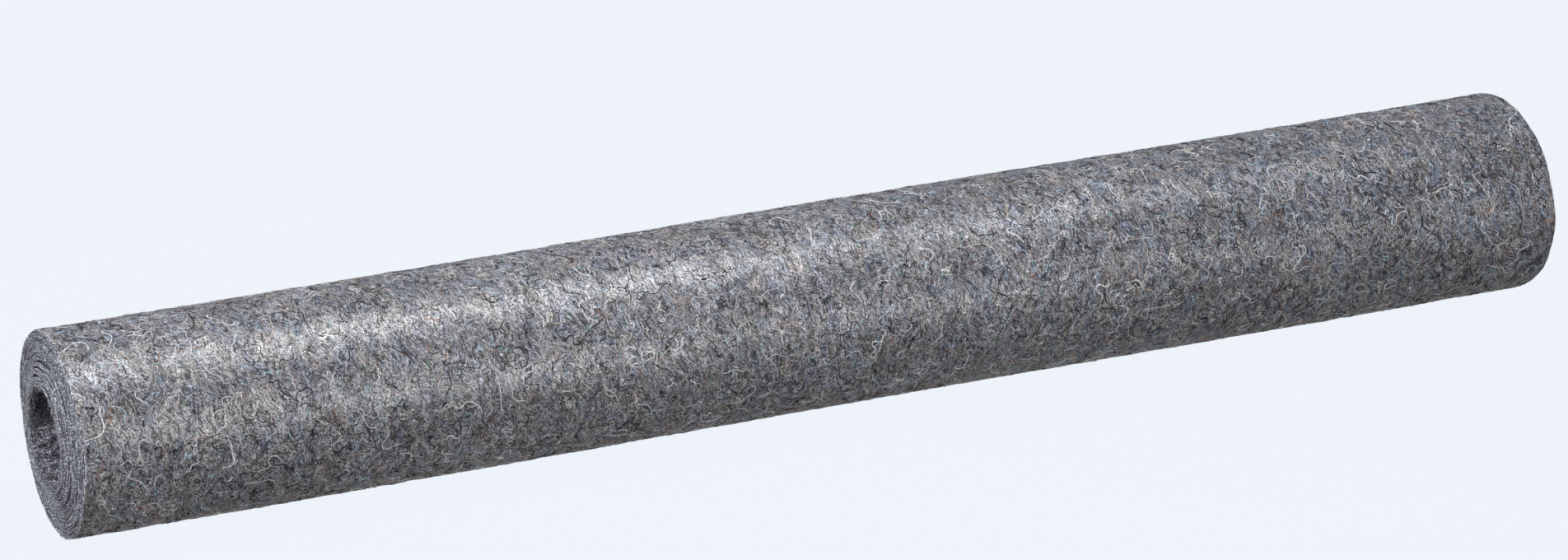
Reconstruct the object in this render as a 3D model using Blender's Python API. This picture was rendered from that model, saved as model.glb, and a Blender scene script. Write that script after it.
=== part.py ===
"""A roll of grey needled felt, one metre wide, wound on itself round an open middle.

It lies along X on the plane Z = 0. The end at negative X has its inner turns pushed out a
little and the end at positive X has them drawn in by as much. The sheet's outer edge lies low
on the back, the side at positive Y. Lengths are metres.
"""

import bpy
import numpy as np

# The felt web
WEB_WIDTH = 1.000
TURNS = 24
PUSHED_OUT = 0.005
FLUSH_SHARE = 0.30

# Where the sheet starts in the middle and ends on the outside, as angles from +Y towards +Z
OUTER_EDGE_DEG = -40.0
INNER_EDGE_DEG = -6.0

# The flattened strip on which the roll lies
SAG = 0.0007

# Slow unevenness of the outside, with its waves round the roll and along it
UNEVEN = 0.0003
WAVES_ROUND = 3
WAVES_ALONG = 1.6

# Mesh density
STEPS_ROUND = 108
STEPS_ALONG = 10
STEPS_ACROSS_END = 6

# Cross-sections, one row for each end of the roll
SECTIONS = np.array(
    [
        (0.0, 0.0632, 0.0635, 0.0304, 0.000, -0.0015),
        (1.0, 0.0704, 0.0656, 0.0258, 0.001, -0.0020),
    ],
    dtype=[
        ("along", float),
        ("half_width", float),
        ("half_height", float),
        ("hollow_radius", float),
        ("hollow_y", float),
        ("hollow_z", float),
    ],
)

FELT_COLOUR = (0.30, 0.30, 0.32, 1.0)
FELT_ROUGHNESS = 0.95

TURN = 2.0 * np.pi
OUTER_EDGE = np.radians(OUTER_EDGE_DEG)
INNER_EDGE = np.radians(INNER_EDGE_DEG)
TURNS_IN_ALL = TURNS + (INNER_EDGE - OUTER_EDGE) / TURN
DEPTH_OF_TURN = 1.0 / (TURNS_IN_ALL + 0.5)


def column(name, along):
    """The named size of the cross-section at a share of the way along the roll."""
    return np.interp(along, SECTIONS["along"], SECTIONS[name])


def eased(value):
    """A rise from 0 to 1 with level ends, 3 t squared less 2 t cubed."""
    t = np.clip(value, 0.0, 1.0)
    return t * t * (3.0 - 2.0 * t)


def cross_section(angle, along, depth):
    """Y and Z from the roll's middle line: an oval that blends into the hollow's circle.

    The depth is 0 on the outside and 1 at the hollow. The blend is straight, so the turns stay
    evenly spaced at every angle.
    """
    uneven = UNEVEN * np.sin(WAVES_ROUND * angle + TURN * WAVES_ALONG * along)
    outer_y = (column("half_width", along) + uneven) * np.cos(angle)
    outer_z = (column("half_height", along) + uneven) * np.sin(angle)
    radius = column("hollow_radius", along)
    inner_y = column("hollow_y", along) + radius * np.cos(angle)
    inner_z = column("hollow_z", along) + radius * np.sin(angle)
    return outer_y + (inner_y - outer_y) * depth, outer_z + (inner_z - outer_z) * depth


def height_of_middle(along):
    """Height of the middle line that sinks the lowest point of the outside by the sag."""
    bottom = -0.5 * np.pi
    lap = np.mod(bottom - OUTER_EDGE, TURN) / TURN
    return -cross_section(bottom, along, lap * DEPTH_OF_TURN)[1] - SAG


def outside_loop():
    """Angles and depths once round the outside, from the sheet's outer edge back to it."""
    lap = np.linspace(0.0, 1.0, STEPS_ROUND)
    return OUTER_EDGE + TURN * lap, lap * DEPTH_OF_TURN


def hollow_loop():
    """Angles and depths once round the hollow, stepping one layer at the sheet's inner edge."""
    slip = 0.5 * TURN / STEPS_ROUND
    before = int(round((INNER_EDGE - OUTER_EDGE) / TURN * STEPS_ROUND))
    first = np.linspace(OUTER_EDGE + slip, INNER_EDGE, before)
    second = np.linspace(INNER_EDGE, OUTER_EDGE + TURN - slip, STEPS_ROUND - before)
    angle = np.concatenate([first, second])
    lap = np.concatenate([first - INNER_EDGE + TURN, second - INNER_EDGE]) / TURN
    return angle, (TURNS_IN_ALL + lap) * DEPTH_OF_TURN


def profile():
    """Stations round the wall's lengthwise section: share of the way along and across the wall."""
    along = np.linspace(0.0, 1.0, STEPS_ALONG + 1)
    across = np.append(0.0, np.linspace(FLUSH_SHARE, 1.0, STEPS_ACROSS_END))
    outside = np.stack([along, np.zeros_like(along)], axis=1)
    far_end = np.stack([np.ones_like(across), across], axis=1)[1:-1]
    hollow = np.stack([along[::-1], np.ones_like(along)], axis=1)
    near_end = np.stack([np.zeros_like(across), across[::-1]], axis=1)[1:-1]
    return np.concatenate([outside, far_end, hollow, near_end])


def wall_points():
    """Points of the wall, one row for each station of the profile and one column for each angle."""
    outer_angle, outer_depth = outside_loop()
    inner_angle, inner_depth = hollow_loop()
    rows = []
    for along, across in profile():
        angle = outer_angle + (inner_angle - outer_angle) * across
        depth = outer_depth + (inner_depth - outer_depth) * across
        y, z = cross_section(angle, along, depth)
        z = np.maximum(z + height_of_middle(along), 0.0)
        push = PUSHED_OUT * eased((across - FLUSH_SHARE) / (1.0 - FLUSH_SHARE))
        x = np.full_like(y, (along - 0.5) * WEB_WIDTH - push)
        rows.append(np.stack([x, y, z], axis=1))
    points = np.stack(rows)
    low = points.min(axis=(0, 1))
    high = points.max(axis=(0, 1))
    middle = 0.5 * (low + high)
    return points - np.array([middle[0], middle[1], 0.0])


def wall_faces(rows, columns):
    """Quads of a grid that closes on itself both ways."""
    row, col = np.meshgrid(np.arange(rows), np.arange(columns), indexing="ij")
    next_row = (row + 1) % rows
    next_col = (col + 1) % columns
    corners = [row * columns + col, row * columns + next_col]
    corners += [next_row * columns + next_col, next_row * columns + col]
    return np.stack([corner.ravel() for corner in corners], axis=1)


def felt_material():
    material = bpy.data.materials.new("felt")
    material.use_nodes = True
    shader = material.node_tree.nodes["Principled BSDF"]
    shader.inputs["Base Color"].default_value = FELT_COLOUR
    shader.inputs["Roughness"].default_value = FELT_ROUGHNESS
    material.diffuse_color = FELT_COLOUR
    return material


def make_roll():
    points = wall_points()
    rows, columns = points.shape[:2]
    mesh = bpy.data.meshes.new("felt_roll")
    mesh.from_pydata(points.reshape(-1, 3).tolist(), [], wall_faces(rows, columns).tolist())
    mesh.update()
    mesh.polygons.foreach_set("use_smooth", np.ones(len(mesh.polygons), dtype=bool))
    mesh.set_sharp_from_angle(angle=np.radians(35.0))
    mesh.materials.append(felt_material())
    roll = bpy.data.objects.new("felt_roll", mesh)
    bpy.context.scene.collection.objects.link(roll)


for old in list(bpy.data.objects):
    bpy.data.objects.remove(old, do_unlink=True)
make_roll()
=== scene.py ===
"""A roll of grey needled felt: the wound web, the threads felted into it and its frayed ends.

Lengths are metres. The roll lies along X on Z = 0. Angles turn from +Y towards +Z, and turns
are counted inwards from the sheet's outer edge, which lies low on the back.
"""

import bpy
import numpy as np
from mathutils import Matrix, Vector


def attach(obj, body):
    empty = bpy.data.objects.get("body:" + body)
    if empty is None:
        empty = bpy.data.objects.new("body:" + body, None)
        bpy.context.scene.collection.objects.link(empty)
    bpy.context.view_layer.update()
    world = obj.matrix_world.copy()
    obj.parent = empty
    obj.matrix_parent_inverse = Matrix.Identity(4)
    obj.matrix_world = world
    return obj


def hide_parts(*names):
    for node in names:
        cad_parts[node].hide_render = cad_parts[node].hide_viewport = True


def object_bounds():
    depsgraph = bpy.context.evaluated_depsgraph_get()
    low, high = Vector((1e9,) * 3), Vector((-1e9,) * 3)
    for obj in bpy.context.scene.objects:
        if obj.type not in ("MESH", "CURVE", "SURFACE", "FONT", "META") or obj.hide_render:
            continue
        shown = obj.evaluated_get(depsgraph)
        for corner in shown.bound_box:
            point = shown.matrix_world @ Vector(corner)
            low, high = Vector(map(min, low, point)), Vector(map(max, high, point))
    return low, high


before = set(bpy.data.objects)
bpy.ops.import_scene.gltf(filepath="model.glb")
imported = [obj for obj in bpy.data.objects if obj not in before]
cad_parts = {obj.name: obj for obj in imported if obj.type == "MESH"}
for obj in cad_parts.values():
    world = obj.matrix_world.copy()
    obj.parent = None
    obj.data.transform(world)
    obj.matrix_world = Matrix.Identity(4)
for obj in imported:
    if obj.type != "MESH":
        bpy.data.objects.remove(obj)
CAD_BOX = [list(corner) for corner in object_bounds()]

# The web and its winding, with the same sizes as the part's source
TURN = 2.0 * np.pi
WEB_WIDTH = 1.000
TURNS = 24
PUSHED_OUT = 0.005
FLUSH_SHARE = 0.30
OUTER_EDGE = np.radians(-40.0)
INNER_EDGE = np.radians(-6.0)
SAG = 0.0007
UNEVEN = 0.0003
WAVES_ROUND = 3
WAVES_ALONG = 1.6
SECTIONS = np.array(
    [
        (0.0, 0.0632, 0.0635, 0.0304, 0.000, -0.0015),
        (1.0, 0.0704, 0.0656, 0.0258, 0.001, -0.0020),
    ],
    dtype=[
        ("along", float),
        ("half_width", float),
        ("half_height", float),
        ("hollow_radius", float),
        ("hollow_y", float),
        ("hollow_z", float),
    ],
)
TURNS_IN_ALL = TURNS + (INNER_EDGE - OUTER_EDGE) / TURN
DEPTH_OF_TURN = 1.0 / (TURNS_IN_ALL + 0.5)
DEPTH_AT_BOTTOM = DEPTH_OF_TURN * np.mod(-0.5 * np.pi - OUTER_EDGE, TURN) / TURN
MIDDLE_X = 0.5 * (CAD_BOX[0][0] + CAD_BOX[1][0]) + 0.5 * PUSHED_OUT
MEAN_RADIUS = 0.066

# The felt itself, how finely its mesh is divided, and the soft relief of its outside
THICKNESS = 0.00122
OUTER_LAPS = 1.06
JOINT_GAP_LAPS = 0.0008
OUTER_STEPS = 150
OUTER_STATIONS = 300
WOUND_STEPS = 96
WOUND_STATIONS = 12
INNER_STATIONS = 9
RELIEF = 0.00014
RELIEF_WAVES = 56
RELIEF_SHORTEST = 0.008
RELIEF_LONGEST = 0.090

# Seeds of the random draws. Threads and hairs count up from theirs, kind by kind
RELIEF_SEED = 5
WINDING_SEED = 11
OUTER_SEED = 21
WOUND_SEED = 22
THREAD_SEED = 40
HAIR_SEED = 60
FIBRE_SEED = 80

# The cut edges: rounded corners, and how far they stray along the roll and how deep that reaches
CORNER_INSET = 0.35 * THICKNESS
CORNER_THROUGH = 0.28
RAGGED = 0.0008
RAGGED_COLUMNS = 14
ROUGH = 0.00010
RAGGED_DEPTH = 0.010

# How the spacing of the turns wanders: its strength, its waves and the share that stays even
WANDER = 1.8
WANDER_WAVES = 150
EVEN_SHARE = 0.62

# Where the turns stand apart: turn, angle in degrees, spread in degrees, extra share of a spacing
LOOSE_PLACES = np.array(
    [
        (6.0, 196.0, 26.0, 0.50),
        (10.0, 228.0, 22.0, 0.65),
        (13.0, 176.0, 20.0, 0.80),
        (16.0, 214.0, 22.0, 1.00),
        (19.0, 236.0, 18.0, 1.25),
        (20.5, 182.0, 13.0, 1.50),
        (22.0, 212.0, 14.0, 0.80),
        (9.0, 20.0, 30.0, 0.35),
        (14.0, 95.0, 30.0, 0.25),
        (18.0, 320.0, 30.0, 0.50),
    ],
    dtype=[("turn", float), ("angle", float), ("spread", float), ("extra", float)],
)

# Threads felted into the outside: count, shortest and longest, radius, and how much they curl
THREADS = {
    "threads_dark": (2450, 0.006, 0.034, 0.00035, 1.8),
    "threads_pale": (2480, 0.006, 0.036, 0.00037, 1.9),
    "threads_blue": (700, 0.006, 0.024, 0.00036, 2.2),
    "threads_brown": (220, 0.006, 0.024, 0.00034, 1.8),
    "threads_bright": (90, 0.003, 0.008, 0.00036, 1.2),
}
HAIRS = {
    "hairs_pale": (5000, 0.004, 0.011, 0.00026, 1.2),
    "hairs_dark": (5000, 0.004, 0.011, 0.00027, 1.2),
}

# Points along each thread and hair, and the thickness of all as a share of their width
THREAD_STATIONS = 14
HAIR_STATIONS = 4
FLATTENED = 0.55

# How threads lie: the share that runs round the roll, its heading from X and that heading's
# spread, and how far all of them stay from the ends and from the sheet's outer edge
ROUND_SHARE = 0.62
ROUND_HEADING = np.radians(76.0)
HEADING_SPREAD = np.radians(26.0)
END_MARGIN = 0.0012
EDGE_MARGIN = 0.001

# Frayed fibres: on the cut edges at the ends, on the sheet's inner edge and on the hollow's rim.
# The wall's mean thickness and the rim's radius turn their lengths into depths and angles
END_FIBRES = 3600
INNER_EDGE_FIBRES = 900
RIM_FIBRES = 1100
FIBRE_STATIONS = 3
THINNEST_FIBRE = 0.00006
THICKEST_FIBRE = 0.00013
RIM_FIBRE_THICKER = 2.4
FIRST_FRAYED_LAP = 0.3
NEAR_SHARE = 0.62
MEAN_WALL = 0.035
RIM_RADIUS = 0.025

# The dyes of threads, hairs and frayed fibres: places on a ramp from 0 to 1 and their colours.
# The dull kinds have no sheen
DYES = {
    "threads_dark": [
        (0.0, (0.006, 0.006, 0.008, 1)),
        (0.5, (0.020, 0.019, 0.022, 1)),
        (1.0, (0.070, 0.050, 0.045, 1)),
    ],
    "threads_pale": [
        (0.0, (0.98, 0.99, 0.99, 1)),
        (0.4, (0.74, 0.75, 0.77, 1)),
        (0.8, (0.48, 0.50, 0.54, 1)),
        (1.0, (0.74, 0.60, 0.46, 1)),
    ],
    "threads_blue": [
        (0.0, (0.30, 0.50, 0.62, 1)),
        (0.6, (0.50, 0.68, 0.76, 1)),
        (1.0, (0.09, 0.18, 0.36, 1)),
    ],
    "threads_brown": [
        (0.0, (0.42, 0.26, 0.16, 1)),
        (0.6, (0.20, 0.11, 0.07, 1)),
        (1.0, (0.50, 0.20, 0.12, 1)),
    ],
    "threads_bright": [
        (0.0, (0.30, 0.02, 0.03, 1)),
        (0.5, (0.08, 0.42, 0.36, 1)),
        (1.0, (0.05, 0.28, 0.12, 1)),
    ],
    "hairs_pale": [
        (0.0, (0.40, 0.40, 0.43, 1)),
        (0.6, (0.64, 0.64, 0.66, 1)),
        (1.0, (0.38, 0.46, 0.54, 1)),
    ],
    "hairs_dark": [
        (0.0, (0.012, 0.012, 0.015, 1)),
        (0.7, (0.040, 0.038, 0.044, 1)),
        (1.0, (0.100, 0.070, 0.060, 1)),
    ],
    "frayed_ends": [
        (0.0, (0.30, 0.31, 0.35, 1)),
        (0.5, (0.60, 0.62, 0.68, 1)),
        (1.0, (0.09, 0.09, 0.10, 1)),
    ],
}
DULL = ("threads_dark", "hairs_dark")

# The felt's face: two greys, a tint, and the dyes of strands and specks
COOL_GREY = (0.124, 0.128, 0.163, 1)
WARM_GREY = (0.168, 0.151, 0.152, 1)
BLUE_TINT = (0.86, 1.07, 1.20, 1)
DARK_DYE = (0.030, 0.028, 0.032, 1)
PALE_DYE = (0.70, 0.69, 0.69, 1)
SPECK_DYES = [
    (0.00, (0.040, 0.038, 0.042, 1)),
    (0.26, (0.180, 0.180, 0.190, 1)),
    (0.52, (0.600, 0.600, 0.600, 1)),
    (0.68, (0.340, 0.460, 0.540, 1)),
    (0.78, (0.100, 0.380, 0.330, 1)),
    (0.82, (0.400, 0.230, 0.150, 1)),
    (0.88, (0.300, 0.050, 0.050, 1)),
    (0.90, (0.160, 0.160, 0.170, 1)),
]
SPECK_SPACING = 0.0062
GRAIN_SIZE = 0.00085
CLOUD_SIZE = 0.045

# Patterns on the face. Columns: heading in degrees, length along it, width across it, shift, and
# the noise's detail and roughness
FACE_PATTERNS = {
    "warmth": (80, 0.026, 0.014, 3.1, 2.0, 0.75),
    "steep_streaks": (86, 0.0040, 0.0010, 0.0, 3.0, 0.7),
    "slanted_streaks": (50, 0.0030, 0.0010, 5.0, 3.0, 0.7),
    "patches": (86, 0.014, 0.006, 7.7, 3.0, 0.6),
    "blots": (80, 0.0052, 0.0030, 41.0, 1.0, 0.6),
    "blue_places": (80, 0.0120, 0.0050, 51.0, 1.0, 0.55),
    "dark_places": (70, 0.010, 0.007, 1.3, 1.0, 0.55),
    "pale_places": (85, 0.010, 0.007, 8.3, 1.0, 0.55),
    "ridges": (89, 0.0110, 0.0009, 31.0, 1.0, 0.5),
    "haze": (84, 0.026, 0.0080, 17.0, 2.0, 0.65),
}

# Strands drawn on the face. Columns: heading in degrees, length and width of the cells whose
# borders they are, and shift
STRANDS = {
    "dark": [(75, 0.0170, 0.0090, 2.0), (140, 0.0140, 0.0080, 6.0)],
    "pale": [(85, 0.0170, 0.0080, 12.0), (35, 0.0130, 0.0080, 16.0)],
}
STRAND_RADIUS = 0.00021

# Fibre ends on the cut edges, between the turns and in the hollow: places on a ramp and colours. The ramps
# between the turns and in the hollow are darker, as painted shade
EDGE_DYES = [
    (0.36, (0.022, 0.023, 0.030, 1)),
    (0.46, (0.160, 0.165, 0.212, 1)),
    (0.54, (0.400, 0.410, 0.500, 1)),
    (0.62, (0.950, 0.970, 1.000, 1)),
]
BETWEEN_SHADE_STOPS = [
    (0.36, (0.025, 0.025, 0.032, 1)),
    (0.56, (0.150, 0.150, 0.180, 1)),
    (0.66, (0.600, 0.600, 0.680, 1)),
]
HOLLOW_SHADE_STOPS = [
    (0.38, (0.020, 0.020, 0.026, 1)),
    (0.49, (0.130, 0.131, 0.165, 1)),
    (0.57, (0.300, 0.304, 0.365, 1)),
    (0.66, (0.900, 0.910, 0.950, 1)),
]

# The floor's glow, the backdrop, and the sky from straight down, at 0, to straight up, at 1
FLOOR_GLOW = (0.850, 0.891, 0.953, 1)
BACKDROP = (0.855, 0.896, 0.956, 1)
SKY = [
    (0.06, (0.150, 0.144, 0.142, 1)),
    (0.36, (0.320, 0.312, 0.308, 1)),
    (0.55, (0.270, 0.270, 0.280, 1)),
    (0.85, (0.235, 0.242, 0.270, 1)),
]
FLOOR_HALF = 40.0

# Softboxes: place, X of the point on the middle line that each faces, width, depth and power
SOFTBOXES = {
    "softbox_overhead": ((-0.22, -0.15, 1.30), -0.22, 1.5, 0.20, 14.0),
    "softbox_front": ((-0.25, -1.60, 0.32), -0.25, 1.8, 0.20, 10.0),
    "softbox_back": ((-1.00, 1.60, 1.00), -0.15, 1.4, 0.40, 8.0),
    "softbox_end": ((-1.90, -0.45, 0.75), -0.50, 0.8, 0.60, 9.0),
}
MIDDLE_Z = 0.065

# The camera that was fitted to the photograph
CAMERA_PLACE = (-1.28524, -2.72626, 1.22786)
CAMERA_AZIMUTH = np.radians(-24.86851)
CAMERA_ELEVATION = np.radians(20.8447)
CAMERA_LENS = 118.17
CAMERA_SENSOR = 36.0


def column(name, along):
    """The named size of the cross-section at a share of the way along the roll."""
    return np.interp(along, SECTIONS["along"], SECTIONS[name])


def eased(value):
    """A rise from 0 to 1 with level ends: 3 t squared less 2 t cubed."""
    t = np.clip(value, 0.0, 1.0)
    return t * t * (3.0 - 2.0 * t)


def cross_section(angle, along, depth):
    """Y and Z from the middle line: an oval that blends straight into the hollow's circle."""
    uneven = UNEVEN * np.sin(WAVES_ROUND * angle + TURN * WAVES_ALONG * along)
    outer_y = (column("half_width", along) + uneven) * np.cos(angle)
    outer_z = (column("half_height", along) + uneven) * np.sin(angle)
    radius = column("hollow_radius", along)
    inner_y = column("hollow_y", along) + radius * np.cos(angle)
    inner_z = column("hollow_z", along) + radius * np.sin(angle)
    return outer_y + (inner_y - outer_y) * depth, outer_z + (inner_z - outer_z) * depth


def wall_at(angle, along):
    """How far it is from the outside to the hollow at that angle."""
    outer = cross_section(angle, along, 0.0)
    inner = cross_section(angle, along, 1.0)
    return np.hypot(outer[0] - inner[0], outer[1] - inner[1])


def height_of_middle(along):
    """Height of the middle line that sinks the lowest point of the outside by the sag."""
    bottom = -0.5 * np.pi
    lap = np.mod(bottom - OUTER_EDGE, TURN) / TURN
    return -cross_section(bottom, along, lap * DEPTH_OF_TURN)[1] - SAG


def web_point(x, angle, depth, rise):
    """X, Y, Z of a point of the web: its place in the section, lifted outwards by rise.

    The roll is flattened where it rests: nothing goes lower than its own depth in the wall.
    """
    along = np.clip((x - MIDDLE_X) / WEB_WIDTH + 0.5, 0.0, 1.0)
    y, z = cross_section(angle, along, depth)
    y = y + rise * np.cos(angle)
    z = z + rise * np.sin(angle) + height_of_middle(along)
    lowest = (depth - DEPTH_AT_BOTTOM) * (wall_at(-0.5 * np.pi, along) - 2.0 * SAG)
    z = np.maximum(z, np.maximum(lowest, 0.0))
    return np.stack(np.broadcast_arrays(x, y, z), axis=-1)


def random_curve(count, waves, rng):
    """A closed random curve between -1 and 1: sines of 1, 2, 3 and more periods, random in size and phase."""
    at = np.linspace(0.0, TURN, count, endpoint=False)
    order = np.arange(1, waves + 1)[:, None]
    phase = rng.uniform(0.0, TURN, (waves, 1))
    size = rng.normal(0.0, 1.0, (waves, 1))
    curve = (size * np.sin(order * at + phase)).sum(axis=0)
    return curve / np.abs(curve).max()


def relief(x, angle):
    """Soft random relief, about 1 high: a sum of sines of many lengths, headings and phases."""
    rng = np.random.default_rng(RELIEF_SEED)
    length = np.exp(rng.uniform(np.log(RELIEF_SHORTEST), np.log(RELIEF_LONGEST), RELIEF_WAVES))
    heading = rng.uniform(0.0, np.pi, RELIEF_WAVES)
    phase = rng.uniform(0.0, TURN, RELIEF_WAVES)
    total = np.zeros(np.broadcast(x, angle).shape)
    for number, direction, start in zip(TURN / length, heading, phase):
        run = x * np.cos(direction) + MEAN_RADIUS * angle * np.sin(direction)
        total += np.sin(number * run + start)
    return total / np.sqrt(0.5 * RELIEF_WAVES)


def winding(steps):
    """Lap, depth of the outer face and room to the next turn, at each step of the web inwards.

    A turn lies one spacing inside the turn before it at the same angle, so the depths are
    running sums of spacings over the turns, scaled to the wall's whole depth. The spacing
    wanders along the web and is wider in the loose places.
    """
    rng = np.random.default_rng(WINDING_SEED)
    rows = TURNS + 3
    fine = 192
    count = rows * fine
    wander = np.exp(WANDER * random_curve(count, WANDER_WAVES, rng))
    lap = np.arange(count) / fine
    angle = np.degrees(OUTER_EDGE) + 360.0 * lap
    extra = np.zeros(count)
    for place in LOOSE_PLACES:
        turned = (angle - place["angle"] + 180.0) % 360.0 - 180.0
        apart = (turned / place["spread"]) ** 2 + 2.0 * (lap - place["turn"]) ** 2
        extra += place["extra"] * np.exp(-apart)
    wandering = (1.0 - EVEN_SHARE) * wander / wander.mean()
    spacing = (EVEN_SHARE + wandering + extra).reshape(rows, fine)
    spacing[0] = spacing[0].mean()
    spacing *= TURNS / spacing[:TURNS].sum(axis=0)
    spacing *= DEPTH_OF_TURN
    first = np.linspace(0.0, spacing[0, 0], fine, endpoint=False)
    depth = np.cumsum(np.vstack([first, spacing]), axis=0)[:-1].ravel()
    wanted = np.arange(int(round(TURNS_IN_ALL * steps)) + 1) / steps
    return wanted, np.interp(wanted, lap, depth), np.interp(wanted, lap, spacing.ravel())


def mesh_piece(name, points, faces, materials, material_of_face=None, attributes=None):
    """An object from an array of points and a list of face arrays, each with its own corner count."""
    corners = np.concatenate([part.ravel() for part in faces])
    counts = np.concatenate([np.full(len(part), part.shape[1]) for part in faces])
    mesh = bpy.data.meshes.new(name)
    mesh.vertices.add(len(points))
    mesh.vertices.foreach_set("co", np.ascontiguousarray(points, dtype=np.float32).ravel())
    mesh.loops.add(len(corners))
    mesh.loops.foreach_set("vertex_index", corners.astype(np.int32))
    mesh.polygons.add(len(counts))
    mesh.polygons.foreach_set("loop_start", (np.cumsum(counts) - counts).astype(np.int32))
    mesh.update(calc_edges=True)
    mesh.polygons.foreach_set("use_smooth", np.ones(len(counts), dtype=bool))
    for key, value in (attributes or {}).items():
        layer = mesh.attributes.new(key, "FLOAT_VECTOR", "POINT")
        layer.data.foreach_set("vector", np.ascontiguousarray(value, dtype=np.float32).ravel())
    for material in materials:
        mesh.materials.append(material)
    if material_of_face is not None:
        mesh.polygons.foreach_set("material_index", material_of_face.astype(np.int32))
    piece = bpy.data.objects.new(name, mesh)
    bpy.context.scene.collection.objects.link(piece)
    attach(piece, "root")
    return piece


def ragged_edge(count, rng):
    """How far a cut edge strays along the roll, column by column: a slow random curve and a rough one."""
    slow = RAGGED * random_curve(count, max(count // RAGGED_COLUMNS, 3), rng)
    return slow + rng.normal(0.0, ROUGH, count)


def web_piece(name, first, last, steps, stations, seed, materials):
    """The wound web from one lap to another as a closed sheet of its real thickness.

    Columns follow the winding. Rows go once round the web's own section: out along the outer
    face, round the far cut edge, back along the inner face and round the near cut edge. The
    materials are those of the faces, of the cut edges and, if there is a third, of the hollow.
    """
    rng = np.random.default_rng(seed)
    lap, depth, spacing = winding(steps)
    keep = (lap >= first - 1e-9) & (lap <= last + 1e-9)
    lap, depth, spacing = lap[keep], depth[keep], spacing[keep]
    lap[0] += JOINT_GAP_LAPS * (first > 0.0)
    angle = OUTER_EDGE + TURN * lap
    outwards = np.linspace(0.0, 1.0, stations)
    backwards = np.linspace(1.0, 0.0, INNER_STATIONS)
    corners = np.array([CORNER_THROUGH, 1.0 - CORNER_THROUGH])
    along = np.concatenate([outwards, [1.0, 1.0], backwards, [0.0, 0.0]])
    through = np.concatenate([np.zeros(stations), corners, np.ones(INNER_STATIONS), corners[::-1]])
    inset = np.zeros(len(along))
    inset[[0, -3]] = CORNER_INSET
    inset[[stations - 1, stations + 2]] = -CORNER_INSET
    rows = len(along)
    cols = len(lap)
    share = along[:, None]
    push = PUSHED_OUT * eased((depth - FLUSH_SHARE) / (1.0 - FLUSH_SHARE))
    near = ragged_edge(cols, rng)
    far = ragged_edge(cols, rng)
    from_end = np.minimum(share, 1.0 - share)
    stray = np.where(share > 0.5, far, near) * np.exp(-from_end / RAGGED_DEPTH)
    x = MIDDLE_X + (share - 0.5) * WEB_WIDTH + inset[:, None] - push + stray
    layer = np.minimum(THICKNESS / wall_at(angle, share), 0.95 * spacing)
    deep = depth + layer * through[:, None]
    all_angles = np.broadcast_to(angle, (rows, cols))
    rise = RELIEF * relief(x, all_angles) * (through < 0.5)[:, None] * (first == 0.0)
    points = web_point(x, all_angles, deep, rise)
    arc = MEAN_RADIUS * angle + first
    place = np.stack(np.broadcast_arrays(x, arc, through[:, None] * THICKNESS), axis=-1)
    row, col = np.meshgrid(np.arange(rows), np.arange(cols - 1), indexing="ij")
    here = row * cols + col
    ahead = (row + 1) % rows * cols + col
    quads = np.stack([here, ahead, ahead + 1, here + 1], axis=-1)
    ring = np.arange(rows) * cols
    faces = [quads.reshape(-1, 4), ring[None, ::-1], ring[None, :] + cols - 1]
    edge_rows = [stations - 1, stations, stations + 1, rows - 3, rows - 2, rows - 1]
    cut = np.isin(np.arange(rows), edge_rows)[:, None] & np.ones(cols - 1, dtype=bool)
    innermost = lap[:-1] > TURNS_IN_ALL - 1.02
    in_hollow = (through > 0.9)[:, None] & innermost & ~cut
    material_of_face = np.append((cut + 2 * in_hollow).ravel(), [1, len(materials) - 1])
    attributes = {"web_place": place.reshape(-1, 3)}
    return mesh_piece(name, points.reshape(-1, 3), faces, materials, material_of_face, attributes)


def tubes(name, paths, radius, thread, material):
    """Closed thin tubes: flattened three-cornered rings square to each path, with both ends capped.

    paths is count by stations by 3, radius is count by stations, and thread holds each tube's
    own two random numbers, which its material reads. Upward leans a little along the roll, so
    that it is never in line with a path.
    """
    count, stations, _ = paths.shape
    along = np.gradient(paths, axis=1)
    along /= np.linalg.norm(along, axis=-1, keepdims=True) + 1e-12
    upward = paths - np.array([0.0, 0.0, SECTIONS["half_height"].mean()])
    upward[..., 0] = 0.31 * np.linalg.norm(upward[..., 1:], axis=-1)
    side = np.cross(along, upward)
    side /= np.linalg.norm(side, axis=-1, keepdims=True) + 1e-12
    over = np.cross(along, side)
    corner = (np.arange(3) * TURN / 3.0)[:, None]
    spread = np.cos(corner) * side[:, :, None, :] + FLATTENED * np.sin(corner) * over[:, :, None, :]
    points = paths[:, :, None, :] + radius[:, :, None, None] * spread
    number = np.arange(count * stations * 3).reshape(count, stations, 3)
    following = np.roll(number, -1, axis=2)
    quads = np.stack([number[:, :-1], following[:, :-1], following[:, 1:], number[:, 1:]], axis=-1)
    caps = np.concatenate([number[:, 0, ::-1], number[:, -1]])
    travelled = np.broadcast_to(np.linspace(0.0, 1.0, stations)[None, :, None], number.shape)
    own = np.broadcast_to(thread[:, None, None, :], (*number.shape, 2))
    values = np.concatenate([own, travelled[..., None]], axis=-1).reshape(-1, 3)
    faces = [quads.reshape(-1, 4), caps]
    return mesh_piece(name, points.reshape(-1, 3), faces, [material], None, {"thread": values})


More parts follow.
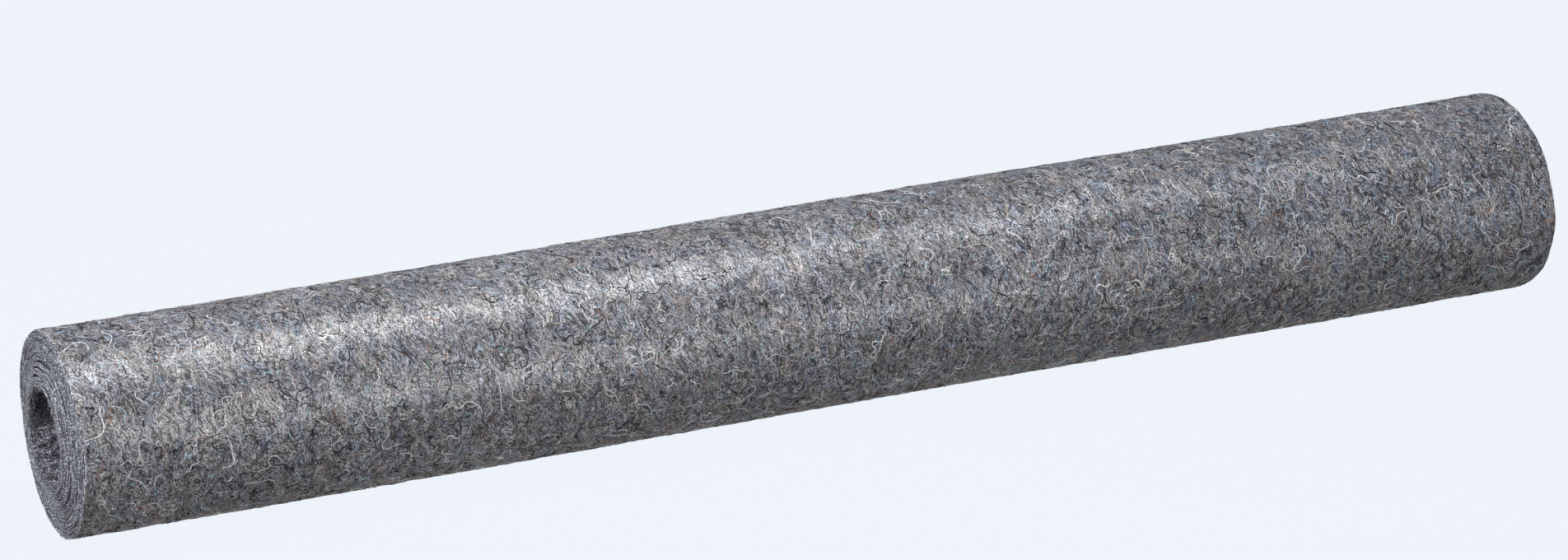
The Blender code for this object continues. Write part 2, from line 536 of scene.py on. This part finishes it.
def laid_threads(name, sizes, stations, seed, thinned):
    """Threads that wander over the outside, half sunk in the felt.

    Each heading is a random start, an even bend and two sines along the thread. Its steps are
    added up to a path over X and the way round, and lifted by a low arch and a wave, so that
    parts dip into the felt.
    """
    count, shortest, longest, radius, curl = sizes
    count //= thinned
    rng = np.random.default_rng(seed)
    length = shortest * (longest / shortest) ** rng.power(0.9, count)
    step = (length / (stations - 1))[:, None]
    t = np.linspace(0.0, 1.0, stations)[None, :]
    draw = rng.uniform(0.0, 1.0, (12, count, 1))
    round_roll = rng.normal(ROUND_HEADING, HEADING_SPREAD, (count, 1))
    leaning = np.where(draw[0] < ROUND_SHARE, round_roll, TURN * draw[1])
    bend = curl * rng.normal(0.0, 1.0, (count, 1))
    wave = curl * 0.9 * draw[2] * np.sin(TURN * (draw[3] + t * (0.6 + draw[4])))
    kink = curl * 0.7 * draw[5] * np.sin(TURN * (draw[6] + t * (1.2 + 1.4 * draw[7])))
    heading = leaning + bend * (t - 0.5) + wave + kink
    x = np.cumsum(np.cos(heading) * step, axis=1)
    arc = np.cumsum(np.sin(heading) * step, axis=1)
    reach = 0.5 * WEB_WIDTH - END_MARGIN
    x = within(x, MIDDLE_X - reach, MIDDLE_X + reach, rng)
    span = TURN * MEAN_RADIUS
    arc = within(arc, EDGE_MARGIN, span - EDGE_MARGIN, rng)
    angle = OUTER_EDGE + arc / MEAN_RADIUS
    own = radius * (0.80 + 0.35 * draw[8] ** 2)
    thick = own * (0.35 + 0.65 * np.sin(np.pi * (0.06 + 0.88 * t)) ** 0.6)
    arch = 0.05 + 0.30 * draw[9] * np.sin(np.pi * t)
    lift = own * (arch + 0.22 * np.sin(TURN * (draw[10] + 2.0 * t)))
    lap, web_depth, _ = winding(WOUND_STEPS)
    depth = np.interp(arc / span, lap, web_depth)
    paths = web_point(x, angle, depth, RELIEF * relief(x, angle) + lift)
    paths[..., 2] = np.maximum(paths[..., 2], own)
    return tubes(name, paths, thick, rng.uniform(0.0, 1.0, (count, 2)), thread_material(name))


def within(path, low, high, rng):
    """Each path, one to a row, moved as a whole to a random place from low to high."""
    path = path - path.mean(axis=1, keepdims=True) + rng.uniform(low, high, (len(path), 1))
    path = path + np.maximum(low - path.min(axis=1, keepdims=True), 0.0)
    return path - np.maximum(path.max(axis=1, keepdims=True) - high, 0.0)


def end_fibres(count, t, rng):
    """Paths of fibres that arch out of the cut edges at both ends of the roll and swing aside."""
    web_lap, web_depth, _ = winding(WOUND_STEPS)
    inwards = 1.0 - np.sqrt(1.0 - 0.86 * rng.uniform(0.0, 1.0, (count, 1)))
    lap = FIRST_FRAYED_LAP + (TURNS_IN_ALL - FIRST_FRAYED_LAP) * inwards
    angle = OUTER_EDGE + TURN * lap
    depth = np.interp(lap, web_lap, web_depth) + rng.uniform(0.1, 0.7, (count, 1)) * DEPTH_OF_TURN
    near = rng.uniform(0.0, 1.0, (count, 1)) < NEAR_SHARE
    push = PUSHED_OUT * eased((depth - FLUSH_SHARE) / (1.0 - FLUSH_SHARE))
    end_x = MIDDLE_X + np.where(near, -0.5, 0.5) * WEB_WIDTH - push
    reach = np.where(near, -1.0, 1.0) * rng.uniform(0.0002, 0.0008, (count, 1))
    x = end_x + reach * (np.sin(2.4 * t) - 0.25)
    swing = rng.normal(0.0, 0.0013, (count, 1))
    across = rng.normal(0.0, 0.0005, (count, 1))
    return web_point(x, angle + swing * t / MEAN_RADIUS, depth, across * t)


def inner_edge_fibres(count, t, deepest, rng):
    """Paths of fibres that leave the sheet's inner edge near the ends and rise into the hollow."""
    near = np.where(rng.uniform(0.0, 1.0, (count, 1)) < 0.6, 0.0, 1.0)
    along = np.abs(near - 0.07 * rng.uniform(0.0, 1.0, (count, 1)) ** 2)
    drift = rng.normal(0.0, 0.0022, (count, 1)) * t
    x = MIDDLE_X + (along - 0.5) * WEB_WIDTH - PUSHED_OUT + drift
    reach = (0.0005 + rng.normal(0.0, 0.0022, (count, 1))) / SECTIONS["hollow_radius"].mean()
    above = rng.uniform(0.0002, 0.0010, (count, 1)) / MEAN_WALL
    return web_point(x, INNER_EDGE + reach * t, deepest + above * np.sqrt(t), 0.0)


def rim_fibres(count, t, deepest, rng):
    """Paths of fibres that arch from the innermost turn into the hollow's near mouth."""
    x = MIDDLE_X - 0.5 * WEB_WIDTH - PUSHED_OUT + rng.uniform(-0.0003, 0.0060, (count, 1))
    angle = INNER_EDGE - TURN * rng.uniform(0.0, 1.0, (count, 1)) ** 0.8
    depth = deepest - DEPTH_OF_TURN * (INNER_EDGE - angle) / TURN
    inwards = rng.uniform(0.2, 1.0, (count, 1)) * 0.0034 / MEAN_WALL
    turned = rng.normal(0.0, 0.0022, (count, 1)) / RIM_RADIUS
    across = rng.normal(-0.0004, 0.0006, (count, 1))
    return web_point(x + across * t, angle + turned * t, depth + inwards * np.sin(1.9 * t), 0.0)


def frayed_ends(name, count, seed):
    """Short fibres on the cut edges, on the sheet's inner edge and on the hollow's rim, as tubes."""
    rng = np.random.default_rng(seed)
    t = np.linspace(0.0, 1.0, FIBRE_STATIONS)[None, :]
    deepest = winding(WOUND_STEPS)[1][-1]
    paths = np.concatenate(
        [
            end_fibres(count, t, rng),
            inner_edge_fibres(INNER_EDGE_FIBRES, t, deepest, rng),
            rim_fibres(RIM_FIBRES, t, deepest, rng),
        ]
    )
    total = len(paths)
    thick = rng.uniform(THINNEST_FIBRE, THICKEST_FIBRE, (total, 1)) * (1.0 - 0.5 * t)
    thick[-RIM_FIBRES:] *= RIM_FIBRE_THICKER
    return tubes(name, paths, thick, rng.uniform(0.0, 1.0, (total, 2)), thread_material(name))


def add(tree, kind, inputs=None, **settings):
    """A node of that kind with its settings and its inputs, each a value or another node's socket."""
    made = tree.nodes.new(kind)
    for key, value in settings.items():
        setattr(made, key, value)
    for key, value in (inputs or {}).items():
        if isinstance(value, bpy.types.NodeSocket):
            tree.links.new(value, made.inputs[key])
        else:
            made.inputs[key].default_value = value
    return made


def new_material(name, attribute, **shader_values):
    """A node material with its shader, its output and the socket of the attribute that it reads."""
    material = bpy.data.materials.new(name)
    material.use_nodes = True
    tree = material.node_tree
    tree.nodes.clear()
    shader = add(tree, "ShaderNodeBsdfPrincipled", shader_values)
    output = add(tree, "ShaderNodeOutputMaterial")
    tree.links.new(shader.outputs["BSDF"], output.inputs["Surface"])
    source = add(tree, "ShaderNodeAttribute", attribute_name=attribute)
    return material, tree, shader, source.outputs["Vector"]


def stretched(tree, place, heading, length, width, shift):
    """The place turned by the heading and measured in fibre lengths along it and widths across it."""
    turned = {
        "Vector": place,
        "Rotation": (0.0, 0.0, np.radians(heading)),
        "Scale": (length, width, width),
        "Location": (shift, 0.7 * shift, 0.0),
    }
    return add(tree, "ShaderNodeMapping", turned, vector_type="TEXTURE").outputs["Vector"]


def noise(tree, place, detail=2.0, roughness=0.55, scale=1.0, flat=True):
    """The value of a noise texture, 0 to 1 and about 0.5 in the middle."""
    values = {"Vector": place, "Scale": scale, "Detail": detail, "Roughness": roughness}
    made = add(tree, "ShaderNodeTexNoise", values, noise_dimensions="2D" if flat else "3D")
    return made.outputs["Fac"]


def ranged(tree, value, low, high, to_low=0.0, to_high=1.0):
    """The value carried smoothly from one range to another and held at its ends."""
    values = {"Value": value, "From Min": low, "From Max": high, "To Min": to_low, "To Max": to_high}
    return add(tree, "ShaderNodeMapRange", values, interpolation_type="SMOOTHSTEP").outputs["Result"]


def calc(tree, operation, first, second=0.0, third=0.5):
    """One sum on two or three values."""
    values = {0: first, 1: second, 2: third}
    return add(tree, "ShaderNodeMath", values, operation=operation).outputs["Value"]


def product(tree, first, *others):
    """All the values multiplied together."""
    for value in others:
        first = calc(tree, "MULTIPLY", first, value)
    return first


def strands(tree, place, heading, length, width, shift):
    """Thin lines of even thickness: the borders between cells that are longer along the heading."""
    thin = STRAND_RADIUS / width
    cells = {"Vector": stretched(tree, place, heading, length, width, shift)}
    border = add(tree, "ShaderNodeTexVoronoi", cells, voronoi_dimensions="2D", feature="DISTANCE_TO_EDGE")
    return ranged(tree, border.outputs["Distance"], 0.4 * thin, 1.6 * thin, 1.0, 0.0)


def blend(tree, share, first, second, kind="MIX"):
    """One colour laid over another by a share."""
    made = add(tree, "ShaderNodeMix", {0: share, 6: first, 7: second}, data_type="RGBA", blend_type=kind)
    return made.outputs[2]


def curled(tree, place, size, reach):
    """The place pushed about by a noise of that size, so that what is drawn on it curls."""
    values = {"Vector": place, "Scale": 1.0 / size, "Detail": 1.0}
    push = add(tree, "ShaderNodeTexNoise", values, noise_dimensions="2D").outputs["Color"]
    centred = add(tree, "ShaderNodeVectorMath", {0: push, 1: (0.5, 0.5, 0.5)}, operation="SUBTRACT")
    values = {0: centred.outputs["Vector"], "Scale": reach}
    scaled = add(tree, "ShaderNodeVectorMath", values, operation="SCALE")
    values = {0: place, 1: scaled.outputs["Vector"]}
    return add(tree, "ShaderNodeVectorMath", values, operation="ADD").outputs["Vector"]


def fill_ramp(ramp, stops, interpolation):
    """Sets a colour ramp to those stops, each a place from 0 to 1 and a colour."""
    ramp.interpolation = interpolation
    while len(ramp.elements) < len(stops):
        ramp.elements.new(1.0)
    for element, (where, colour) in zip(ramp.elements, stops):
        element.position = where
        element.color = colour


def pattern(tree, place, name):
    """The noise that FACE_PATTERNS lists under that name."""
    heading, length, width, shift, detail, roughness = FACE_PATTERNS[name]
    return noise(tree, stretched(tree, place, heading, length, width, shift), detail, roughness)


def felt_patches_and_far_shade(tree, place, soft, fine, along):
    """How pale the felt is in patches, clouds and blots, with painted shade that makes it a little darker
    towards the far end.
    """
    cloud = noise(tree, place, 2.0, 0.5, 1.0 / CLOUD_SIZE)
    return product(
        tree,
        ranged(tree, pattern(tree, soft, "patches"), 0.3, 0.7, 0.74, 1.26),
        ranged(tree, cloud, 0.3, 0.7, 0.80, 1.20),
        ranged(tree, pattern(tree, fine, "blots"), 0.30, 0.70, 1.46, 0.46),
        # Painted shade: a little darker towards the far end
        ranged(tree, along, 0.05, 0.45, 1.0, 0.92),
    )


def broken_strands(tree, soft, fine, kind, low, high, broken):
    """Two sets of strands, only in the places of that kind and broken where the last value is 0."""
    first, second = [strands(tree, fine, *sizes) for sizes in STRANDS[kind]]
    places = ranged(tree, pattern(tree, soft, kind + "_places"), low, high)
    return product(tree, calc(tree, "MAXIMUM", first, second), product(tree, places, broken))


def felt_material():
    """The web's faces: mottled greys, fine streaks, strands in two dyes, specks and a hazy gloss."""
    finish = {"IOR": 1.75, "Sheen Weight": 0.10, "Sheen Roughness": 0.45}
    material, tree, shader, place = new_material("felt", "web_place", **finish)
    along = add(tree, "ShaderNodeSeparateXYZ", {"Vector": place}).outputs["X"]
    soft = curled(tree, place, 0.024, 0.012)
    fine = curled(tree, soft, 0.0110, 0.0036)
    steep = pattern(tree, soft, "steep_streaks")
    slanted = pattern(tree, fine, "slanted_streaks")
    streaks = calc(tree, "MULTIPLY", calc(tree, "ADD", steep, slanted), 0.5)
    grain = noise(tree, place, 2.0, 0.8, 1.0 / GRAIN_SIZE)
    pale_streaks = ranged(tree, streaks, 0.38, 0.62, 0.34, 1.70)
    tone = product(tree, pale_streaks, ranged(tree, grain, 0.30, 0.70, 0.02, 1.98))
    warmth = ranged(tree, pattern(tree, soft, "warmth"), 0.36, 0.64)
    colour = blend(tree, warmth, COOL_GREY, WARM_GREY)
    shade = product(tree, tone, felt_patches_and_far_shade(tree, place, soft, fine, along))
    colour = blend(tree, 1.0, colour, shade, "MULTIPLY")
    blue_places = ranged(tree, pattern(tree, soft, "blue_places"), 0.46, 0.64)
    blue = product(tree, blue_places, ranged(tree, along, -0.3, 0.4, 0.35, 0.95))
    colour = blend(tree, blue, colour, BLUE_TINT, "MULTIPLY")
    unbroken = ranged(tree, slanted, 0.58, 0.46)
    dark = broken_strands(tree, soft, fine, "dark", 0.38, 0.48, unbroken)
    colour = blend(tree, calc(tree, "MULTIPLY", dark, 0.92), colour, DARK_DYE)
    unbroken = ranged(tree, slanted, 0.42, 0.54)
    pale = broken_strands(tree, soft, fine, "pale", 0.38, 0.50, unbroken)
    colour = blend(tree, calc(tree, "MULTIPLY", pale, 0.85), colour, PALE_DYE)
    cells = {"Vector": fine, "Scale": 1.0 / SPECK_SPACING}
    cells = add(tree, "ShaderNodeTexVoronoi", cells, voronoi_dimensions="2D")
    specks = ranged(tree, cells.outputs["Distance"], 0.07, 0.12, 0.8, 0.0)
    speck_colour = add(tree, "ShaderNodeValToRGB", {"Fac": cells.outputs["Color"]})
    fill_ramp(speck_colour.color_ramp, SPECK_DYES, "CONSTANT")
    colour = blend(tree, specks, colour, speck_colour.outputs["Color"])
    tree.links.new(colour, shader.inputs["Base Color"])
    ridges = pattern(tree, place, "ridges")
    height = calc(tree, "ADD", ridges, calc(tree, "MULTIPLY", grain, 0.35))
    bump = add(tree, "ShaderNodeBump", {"Height": height, "Strength": 0.5, "Distance": 0.0006})
    tree.links.new(bump.outputs["Normal"], shader.inputs["Normal"])
    tree.links.new(ranged(tree, streaks, 0.3, 0.7, 0.44, 0.29), shader.inputs["Roughness"])
    gloss = product(
        tree,
        ranged(tree, tone, 0.3, 1.6, 0.25, 1.2),
        ranged(tree, pattern(tree, soft, "haze"), 0.34, 0.66, 0.50, 1.46),
        ranged(tree, along, -0.5, -0.2, 0.85, 1.0),
    )
    tree.links.new(gloss, shader.inputs["Specular IOR Level"])
    return material


def fibre_ends(stops, place, tree, shader):
    """Fibre ends seen end on: a fine grain through the stops, in broad paler and darker clouds."""
    values = {"Vector": place, "Scale": (0.0010, 0.0016, 0.0007)}
    ends = add(tree, "ShaderNodeMapping", values, vector_type="TEXTURE")
    grain = noise(tree, ends.outputs["Vector"], 2.0, 0.7, flat=False)
    broad = noise(tree, place, 2.0, 0.6, 1.0 / 0.012, flat=False)
    tone = add(tree, "ShaderNodeValToRGB", {"Fac": grain})
    fill_ramp(tone.color_ramp, stops, "LINEAR")
    bump = add(tree, "ShaderNodeBump", {"Height": grain, "Strength": 0.8, "Distance": 0.0006})
    tree.links.new(bump.outputs["Normal"], shader.inputs["Normal"])
    return blend(tree, 1.0, tone.outputs["Color"], ranged(tree, broad, 0.3, 0.7, 0.7, 1.3), "MULTIPLY")


def edge_material():
    """The web's cut edges, from near black to pale blue grey."""
    finish = {"Specular IOR Level": 0.3, "Roughness": 0.85}
    material, tree, shader, place = new_material("felt_cut_edge", "web_place", **finish)
    tree.links.new(fibre_ends(EDGE_DYES, place, tree, shader), shader.inputs["Base Color"])
    return material


def between_turns_shade_material():
    """The faces between the wound turns in painted shade: dark, so that they show only as dark lines in the
    ends.
    """
    finish = {"Specular IOR Level": 0.1, "Roughness": 0.9}
    material, tree, shader, place = new_material("felt_between_turns_shade", "web_place", **finish)
    tree.links.new(fibre_ends(BETWEEN_SHADE_STOPS, place, tree, shader), shader.inputs["Base Color"])
    return material


def hollow_shade_material():
    """The hollow's wall in painted shade: dark felt with pale flecks, with painted shadow above the web's
    inner edge and painted shade further in.
    """
    finish = {"Specular IOR Level": 0.2, "Roughness": 0.9}
    material, tree, shader, place = new_material("felt_in_the_hollow_shade", "web_place", **finish)
    colour = fibre_ends(HOLLOW_SHADE_STOPS, place, tree, shader)
    blotches = noise(tree, place, 2.0, 0.6, 1.0 / 0.0075, flat=False)
    colour = blend(tree, 1.0, colour, ranged(tree, blotches, 0.36, 0.62, 0.50, 1.60), "MULTIPLY")
    # Painted shadow above the web's inner edge, with a ragged border, and painted shade further in from the
    # near end
    ragged = curled(tree, curled(tree, place, 0.016, 0.060), 0.003, 0.016)
    parts = add(tree, "ShaderNodeSeparateXYZ", {"Vector": ragged})
    start = MEAN_RADIUS * (INNER_EDGE + TURN * (TURNS - 1)) + OUTER_LAPS
    shadow_until = start + 1.9 * MEAN_RADIUS
    lit_from = start + 5.4 * MEAN_RADIUS
    shadow_round = ranged(tree, parts.outputs["Y"], shadow_until, lit_from, 0.24, 1.0)
    end_x = MIDDLE_X - 0.5 * WEB_WIDTH
    shade_inwards = ranged(tree, parts.outputs["X"], end_x + 0.01, end_x + 0.08, 1.0, 0.30)
    colour = blend(tree, 1.0, colour, calc(tree, "MULTIPLY", shadow_round, shade_inwards), "MULTIPLY")
    tree.links.new(colour, shader.inputs["Base Color"])
    return material


def thread_material(name):
    """A spun thread: its own dye from the ramp, mottled along its length and ribbed by its twist."""
    finish = {"Specular IOR Level": 0.45, "Roughness": 0.6, "Sheen Weight": 0.2}
    if name in DULL:
        finish.update({"Specular IOR Level": 0.10, "Sheen Weight": 0.0})
    material, tree, shader, thread = new_material(name, "thread", **finish)
    parts = add(tree, "ShaderNodeSeparateXYZ", {"Vector": thread})
    dye = add(tree, "ShaderNodeValToRGB", {"Fac": parts.outputs["X"]})
    fill_ramp(dye.color_ramp, DYES[name], "LINEAR")
    place = add(tree, "ShaderNodeTexCoord").outputs["Object"]
    mottle = noise(tree, place, 2.0, 0.6, 1.0 / 0.0016, flat=False)
    shade = ranged(tree, mottle, 0.35, 0.65, 0.6, 1.25)
    colour = blend(tree, 1.0, dye.outputs["Color"], shade, "MULTIPLY")
    tree.links.new(colour, shader.inputs["Base Color"])
    twist = calc(tree, "SINE", calc(tree, "MULTIPLY", parts.outputs["Z"], 90.0))
    bump = add(tree, "ShaderNodeBump", {"Height": twist, "Strength": 0.4, "Distance": 0.0001})
    tree.links.new(bump.outputs["Normal"], shader.inputs["Normal"])
    return material


def pale_floor():
    """A wide pale floor that glows, so that the roll throws only a faint shadow on it."""
    corners = [(-1, -1), (1, -1), (1, 1), (-1, 1)]
    mesh = bpy.data.meshes.new("floor")
    mesh.from_pydata([(FLOOR_HALF * x, FLOOR_HALF * y, 0.0) for x, y in corners], [], [(0, 1, 2, 3)])
    finish = {"Roughness": 1.0, "Specular IOR Level": 0.0, "Emission Strength": 1.0}
    finish["Emission Color"] = FLOOR_GLOW
    material, tree, shader, _ = new_material("floor", "none", **finish)
    mottle = noise(tree, add(tree, "ShaderNodeTexCoord").outputs["Object"], scale=0.8, flat=False)
    tint = blend(tree, mottle, (0.011, 0.011, 0.011, 1), (0.013, 0.013, 0.013, 1))
    tree.links.new(tint, shader.inputs["Base Color"])
    mesh.materials.append(material)
    floor = bpy.data.objects.new("floor", mesh)
    floor.visible_diffuse = False
    floor.visible_glossy = False
    floor.visible_shadow = False
    bpy.context.scene.collection.objects.link(floor)


def studio_sky():
    """Soft light from all round, after the SKY ramp on the height of each direction, and a pale backdrop."""
    world = bpy.data.worlds.new("studio")
    bpy.context.scene.world = world
    world.use_nodes = True
    sky = world.node_tree
    direction = add(sky, "ShaderNodeTexCoord").outputs["Generated"]
    height = add(sky, "ShaderNodeSeparateXYZ", {"Vector": direction}).outputs["Z"]
    shade = add(sky, "ShaderNodeValToRGB", {"Fac": calc(sky, "MULTIPLY_ADD", height, 0.5)})
    fill_ramp(shade.color_ramp, SKY, "LINEAR")
    seen = add(sky, "ShaderNodeLightPath").outputs["Is Camera Ray"]
    colour = blend(sky, seen, shade.outputs["Color"], BACKDROP)
    sky.links.new(colour, sky.nodes["Background"].inputs["Color"])


def placed(right, back, where):
    """The matrix that puts a thing somewhere with its own X to the right and its own Z to the back."""
    turned = Matrix(np.stack([right, np.cross(back, right), back], axis=1).tolist()).to_4x4()
    turned.translation = where
    return turned


def softbox(name, where, aim_x, wide, deep, power):
    """A rectangular light, unseen by the camera, that faces the roll's middle line at aim_x."""
    data = bpy.data.lights.new(name, "AREA")
    data.shape = "RECTANGLE"
    data.size = wide
    data.size_y = deep
    data.energy = power
    back = np.subtract(where, (aim_x, 0.0, MIDDLE_Z))
    back = back / np.linalg.norm(back)
    right = np.cross((0.0, 1.0, 0.0) if back[2] > 0.8 else (0.0, 0.0, 1.0), back)
    light = bpy.data.objects.new(name, data)
    light.matrix_world = placed(right / np.linalg.norm(right), back, where)
    light.visible_camera = False
    bpy.context.scene.collection.objects.link(light)


def camera():
    """A long lens in front, past the near end and a little above, as in the photograph."""
    level = np.cos(CAMERA_ELEVATION)
    sine = np.sin(CAMERA_AZIMUTH)
    cosine = np.cos(CAMERA_AZIMUTH)
    back = np.array([sine * level, -cosine * level, np.sin(CAMERA_ELEVATION)])
    right = np.array([cosine, sine, 0.0])
    data = bpy.data.cameras.new("camera")
    data.sensor_fit = "HORIZONTAL"
    data.sensor_width = CAMERA_SENSOR
    data.lens = CAMERA_LENS
    data.clip_start = 0.05
    data.clip_end = 200.0
    view = bpy.data.objects.new("camera", data)
    view.matrix_world = placed(right, back, CAMERA_PLACE)
    bpy.context.scene.collection.objects.link(view)
    bpy.context.scene.camera = view


def main():
    """Builds the web, its threads and hairs and the frayed ends, then floor, sky, lights and camera."""
    edge = edge_material()
    outside = [felt_material(), edge]
    # The wound turns' faces and the hollow's wall carry painted shade
    inside = [between_turns_shade_material(), edge, hollow_shade_material()]
    sizes = (0.0, OUTER_LAPS, OUTER_STEPS, OUTER_STATIONS, OUTER_SEED)
    outer = web_piece("felt_outer_turn", *sizes, outside)
    sizes = (OUTER_LAPS, TURNS_IN_ALL, WOUND_STEPS, WOUND_STATIONS, WOUND_SEED)
    wound = web_piece("felt_wound_turns", *sizes, inside)
    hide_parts("felt_roll")
    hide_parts("felt_roll")
    thinned = 1
    for seed, (name, sizes) in enumerate(THREADS.items(), start=THREAD_SEED):
        laid_threads(name, sizes, THREAD_STATIONS, seed, thinned)
    for seed, (name, sizes) in enumerate(HAIRS.items(), start=HAIR_SEED):
        laid_threads(name, sizes, HAIR_STATIONS, seed, thinned)
    frayed_ends("frayed_ends", END_FIBRES // thinned, FIBRE_SEED)
    pale_floor()
    studio_sky()
    for name, sizes in SOFTBOXES.items():
        softbox(name, *sizes)
    camera()
    bpy.context.scene.view_settings.view_transform = "Standard"


main()
